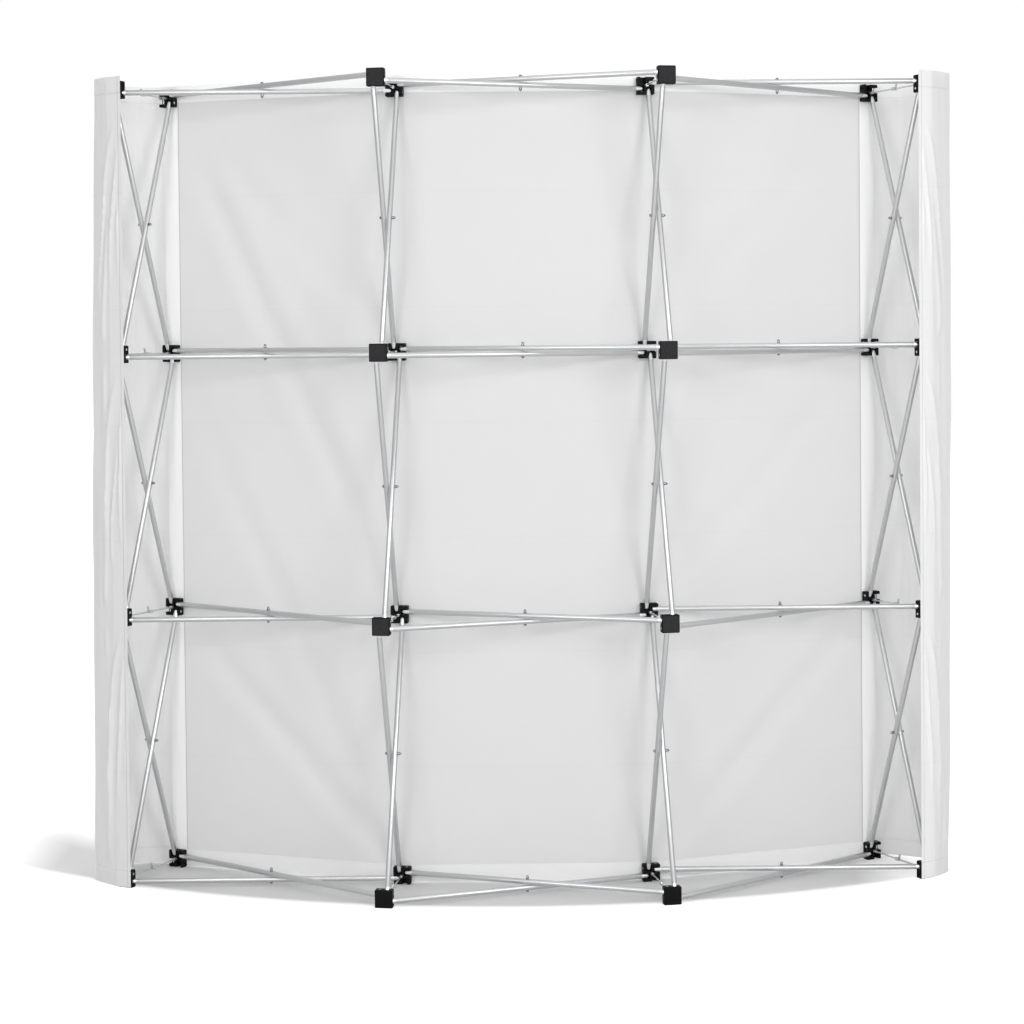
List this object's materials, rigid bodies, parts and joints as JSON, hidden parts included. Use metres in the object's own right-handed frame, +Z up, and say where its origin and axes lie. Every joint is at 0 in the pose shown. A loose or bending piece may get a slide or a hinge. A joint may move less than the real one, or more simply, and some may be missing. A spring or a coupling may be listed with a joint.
{
  "type": "curved banner wall",
  "caption": "Free-standing curved banner wall: crossed aluminium tubes pinned to moulded hubs, hooked lock struts, and a plain cloth banner wrapped round both ends.",
  "frame": {"origin": "on the floor, under the middle of the wall's width and depth", "axes": "+Z up, +X along the wall's width, the banner's show side faces +Y and the frame side faces -Y"},
  "size_m": [2.4542, 0.5155, 2.269],
  "materials": {
    "hub_plastic": "moulded black plastic",
    "tube_aluminium": "satin drawn tube",
    "plug_aluminium": "satin",
    "pin_steel": "bright zinc plated",
    "washer_plastic": "natural nylon",
    "lock_steel": "bright zinc plated",
    "hook_tape": "fine hook pile",
    "banner_cloth": "plain white knitted banner cloth",
    "loop_tape": "white loop pile tape"
  },
  "bodies": {
    "frame": {"rear_hubs_column_1": "hub_plastic", "rear_hubs_column_2": "hub_plastic", "rear_hubs_column_3": "hub_plastic", "rear_hubs_column_4": "hub_plastic", "front_hubs_column_1": "hub_plastic", "front_hubs_column_2": "hub_plastic", "front_hubs_column_3": "hub_plastic", "front_hubs_column_4": "hub_plastic", "level_tubes_1": "tube_aluminium", "level_tubes_2": "tube_aluminium", "level_tubes_3": "tube_aluminium", "level_tubes_4": "tube_aluminium", "upright_tubes_column_1": "tube_aluminium", "upright_tubes_column_2": "tube_aluminium", "upright_tubes_column_3": "tube_aluminium", "upright_tubes_column_4": "tube_aluminium", "level_tube_plugs": "plug_aluminium", "upright_tube_plugs": "plug_aluminium", "level_hub_pins": "pin_steel", "upright_hub_pins": "pin_steel", "level_crossing_rivets": "pin_steel", "upright_crossing_rivets": "pin_steel", "crossing_washers": "washer_plastic", "hook_brackets": "lock_steel", "latch_rods": "lock_steel", "hook_pivot_pins": "pin_steel", "latch_pins": "pin_steel", "rear_hook_pads": "hook_tape", "front_hook_pads": "hook_tape", "front_panel": "banner_cloth", "left_end_wrap": "banner_cloth", "right_end_wrap": "banner_cloth", "top_loop_tape": "loop_tape", "bottom_loop_tape": "loop_tape", "left_loop_tape": "loop_tape", "right_loop_tape": "loop_tape"},
    "hook_arm_column_1_level_1": {"hook_arm_column_1_level_1": "lock_steel"},
    "hook_arm_column_1_level_2": {"hook_arm_column_1_level_2": "lock_steel"},
    "hook_arm_column_1_level_3": {"hook_arm_column_1_level_3": "lock_steel"},
    "hook_arm_column_1_level_4": {"hook_arm_column_1_level_4": "lock_steel"},
    "hook_arm_column_2_level_1": {"hook_arm_column_2_level_1": "lock_steel"},
    "hook_arm_column_2_level_2": {"hook_arm_column_2_level_2": "lock_steel"},
    "hook_arm_column_2_level_3": {"hook_arm_column_2_level_3": "lock_steel"},
    "hook_arm_column_2_level_4": {"hook_arm_column_2_level_4": "lock_steel"},
    "hook_arm_column_3_level_1": {"hook_arm_column_3_level_1": "lock_steel"},
    "hook_arm_column_3_level_2": {"hook_arm_column_3_level_2": "lock_steel"},
    "hook_arm_column_3_level_3": {"hook_arm_column_3_level_3": "lock_steel"},
    "hook_arm_column_3_level_4": {"hook_arm_column_3_level_4": "lock_steel"},
    "hook_arm_column_4_level_1": {"hook_arm_column_4_level_1": "lock_steel"},
    "hook_arm_column_4_level_2": {"hook_arm_column_4_level_2": "lock_steel"},
    "hook_arm_column_4_level_3": {"hook_arm_column_4_level_3": "lock_steel"},
    "hook_arm_column_4_level_4": {"hook_arm_column_4_level_4": "lock_steel"}
  },
  "joints": [
    {"name": "hook_arm_column_1_level_1_lift", "type": "hinge", "parent": "frame", "child": "hook_arm_column_1_level_1", "pos_m": [-1.11637, 0.0219, 0.0245], "axis": [0.8889, -0.4582, 0], "range_deg": [0, 60]},
    {"name": "hook_arm_column_1_level_2_lift", "type": "hinge", "parent": "frame", "child": "hook_arm_column_1_level_2", "pos_m": [-1.11637, 0.0219, 0.7605], "axis": [0.8889, -0.4582, 0], "range_deg": [0, 60]},
    {"name": "hook_arm_column_1_level_3_lift", "type": "hinge", "parent": "frame", "child": "hook_arm_column_1_level_3", "pos_m": [-1.11637, 0.0219, 1.4965], "axis": [0.8889, -0.4582, 0], "range_deg": [0, 60]},
    {"name": "hook_arm_column_1_level_4_lift", "type": "hinge", "parent": "frame", "child": "hook_arm_column_1_level_4", "pos_m": [-1.11637, 0.0219, 2.2325], "axis": [0.8889, -0.4582, 0], "range_deg": [0, 60]},
    {"name": "hook_arm_column_2_level_1_lift", "type": "hinge", "parent": "frame", "child": "hook_arm_column_2_level_1", "pos_m": [-0.38493, -0.2183, 0.0245], "axis": [0.9874, -0.158, 0], "range_deg": [0, 60]},
    {"name": "hook_arm_column_2_level_2_lift", "type": "hinge", "parent": "frame", "child": "hook_arm_column_2_level_2", "pos_m": [-0.38493, -0.2183, 0.7605], "axis": [0.9874, -0.158, 0], "range_deg": [0, 60]},
    {"name": "hook_arm_column_2_level_3_lift", "type": "hinge", "parent": "frame", "child": "hook_arm_column_2_level_3", "pos_m": [-0.38493, -0.2183, 1.4965], "axis": [0.9874, -0.158, 0], "range_deg": [0, 60]},
    {"name": "hook_arm_column_2_level_4_lift", "type": "hinge", "parent": "frame", "child": "hook_arm_column_2_level_4", "pos_m": [-0.38493, -0.2183, 2.2325], "axis": [0.9874, -0.158, 0], "range_deg": [0, 60]},
    {"name": "hook_arm_column_3_level_1_lift", "type": "hinge", "parent": "frame", "child": "hook_arm_column_3_level_1", "pos_m": [0.38493, -0.2183, 0.0245], "axis": [0.9874, 0.158, 0], "range_deg": [0, 60]},
    {"name": "hook_arm_column_3_level_2_lift", "type": "hinge", "parent": "frame", "child": "hook_arm_column_3_level_2", "pos_m": [0.38493, -0.2183, 0.7605], "axis": [0.9874, 0.158, 0], "range_deg": [0, 60]},
    {"name": "hook_arm_column_3_level_3_lift", "type": "hinge", "parent": "frame", "child": "hook_arm_column_3_level_3", "pos_m": [0.38493, -0.2183, 1.4965], "axis": [0.9874, 0.158, 0], "range_deg": [0, 60]},
    {"name": "hook_arm_column_3_level_4_lift", "type": "hinge", "parent": "frame", "child": "hook_arm_column_3_level_4", "pos_m": [0.38493, -0.2183, 2.2325], "axis": [0.9874, 0.158, 0], "range_deg": [0, 60]},
    {"name": "hook_arm_column_4_level_1_lift", "type": "hinge", "parent": "frame", "child": "hook_arm_column_4_level_1", "pos_m": [1.11637, 0.0219, 0.0245], "axis": [0.8889, 0.4582, 0], "range_deg": [0, 60]},
    {"name": "hook_arm_column_4_level_2_lift", "type": "hinge", "parent": "frame", "child": "hook_arm_column_4_level_2", "pos_m": [1.11637, 0.0219, 0.7605], "axis": [0.8889, 0.4582, 0], "range_deg": [0, 60]},
    {"name": "hook_arm_column_4_level_3_lift", "type": "hinge", "parent": "frame", "child": "hook_arm_column_4_level_3", "pos_m": [1.11637, 0.0219, 1.4965], "axis": [0.8889, 0.4582, 0], "range_deg": [0, 60]},
    {"name": "hook_arm_column_4_level_4_lift", "type": "hinge", "parent": "frame", "child": "hook_arm_column_4_level_4", "pos_m": [1.11637, 0.0219, 2.2325], "axis": [0.8889, 0.4582, 0], "range_deg": [0, 60]}
  ]
}
